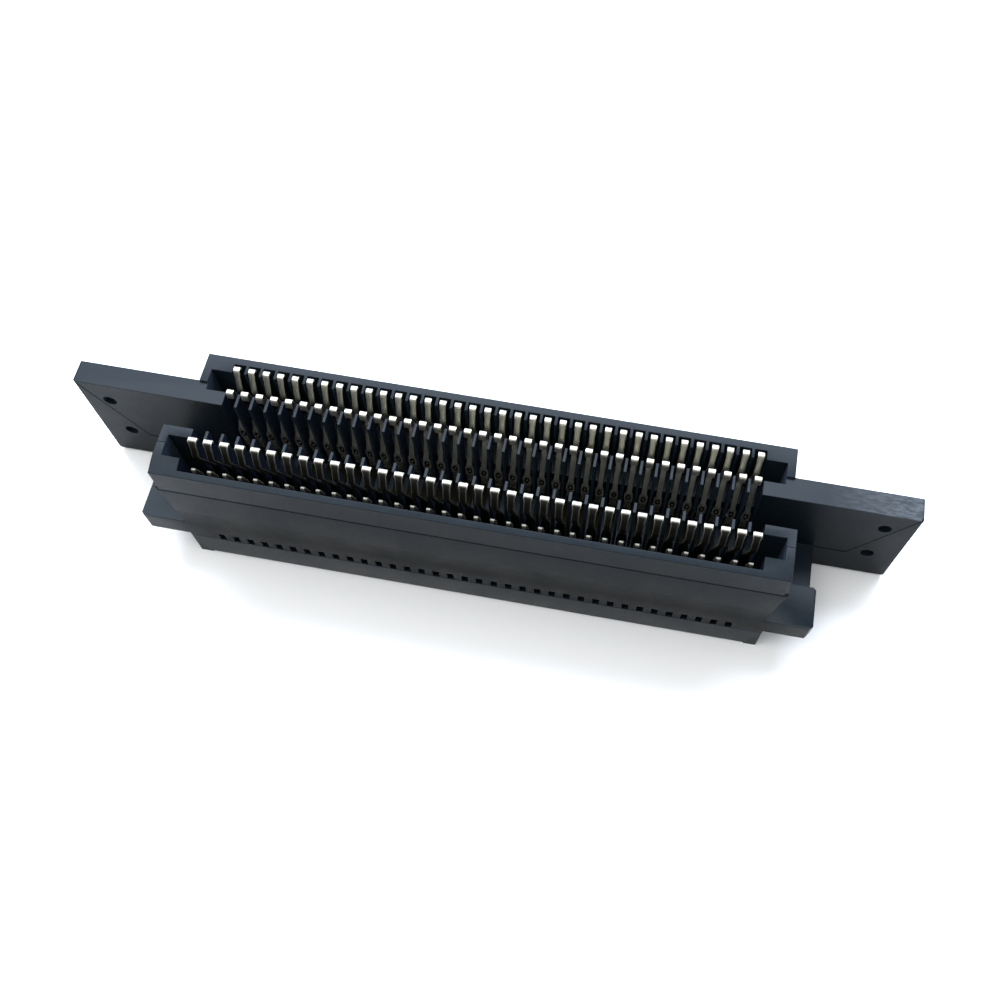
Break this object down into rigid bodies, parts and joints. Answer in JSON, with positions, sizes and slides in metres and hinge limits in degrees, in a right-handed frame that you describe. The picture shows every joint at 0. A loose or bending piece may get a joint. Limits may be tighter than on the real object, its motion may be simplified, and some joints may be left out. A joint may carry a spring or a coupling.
{
  "type": "cartridge slot connector",
  "caption": "Folded card-edge connector: a narrow board slot and a wide cartridge slot side by side, joined by bent spring contacts, with drilled mounting wings.",
  "frame": {"origin": "centre of the bounding box on the plane of the cover's feet", "axes": "+X along the contact rows, -Y towards the cartridge side, +Z out of both slot mouths"},
  "size_m": [0.1412, 0.026, 0.0314],
  "materials": {
    "housing": "satin moulded",
    "rail": "satin moulded",
    "cover": "satin moulded",
    "outer_contacts": "bright plated spring strip",
    "inner_contacts": "bright plated spring strip"
  },
  "bodies": {
    "root": {"housing": "housing", "front_rail": "rail", "bottom_cover": "cover", "outer_contact_01": "outer_contacts", "outer_contact_02": "outer_contacts", "outer_contact_03": "outer_contacts", "outer_contact_04": "outer_contacts", "outer_contact_05": "outer_contacts", "outer_contact_06": "outer_contacts", "outer_contact_07": "outer_contacts", "outer_contact_08": "outer_contacts", "outer_contact_09": "outer_contacts", "outer_contact_10": "outer_contacts", "outer_contact_11": "outer_contacts", "outer_contact_12": "outer_contacts", "outer_contact_13": "outer_contacts", "outer_contact_14": "outer_contacts", "outer_contact_15": "outer_contacts", "outer_contact_16": "outer_contacts", "outer_contact_17": "outer_contacts", "outer_contact_18": "outer_contacts", "outer_contact_19": "outer_contacts", "outer_contact_20": "outer_contacts", "outer_contact_21": "outer_contacts", "outer_contact_22": "outer_contacts", "outer_contact_23": "outer_contacts", "outer_contact_24": "outer_contacts", "outer_contact_25": "outer_contacts", "outer_contact_26": "outer_contacts", "outer_contact_27": "outer_contacts", "outer_contact_28": "outer_contacts", "outer_contact_29": "outer_contacts", "outer_contact_30": "outer_contacts", "outer_contact_31": "outer_contacts", "outer_contact_32": "outer_contacts", "outer_contact_33": "outer_contacts", "outer_contact_34": "outer_contacts", "outer_contact_35": "outer_contacts", "outer_contact_36": "outer_contacts", "inner_contacts_01_02": "inner_contacts", "inner_contacts_03_04": "inner_contacts", "inner_contacts_05_06": "inner_contacts", "inner_contacts_07_08": "inner_contacts", "inner_contacts_09_10": "inner_contacts", "inner_contacts_11_12": "inner_contacts", "inner_contacts_13_14": "inner_contacts", "inner_contacts_15_16": "inner_contacts", "inner_contacts_17_18": "inner_contacts", "inner_contacts_19_20": "inner_contacts", "inner_contacts_21_22": "inner_contacts", "inner_contacts_23_24": "inner_contacts", "inner_contacts_25_26": "inner_contacts", "inner_contacts_27_28": "inner_contacts", "inner_contacts_29_30": "inner_contacts", "inner_contacts_31_32": "inner_contacts", "inner_contacts_33_34": "inner_contacts", "inner_contacts_35_36": "inner_contacts"}
  },
  "joints": []
}
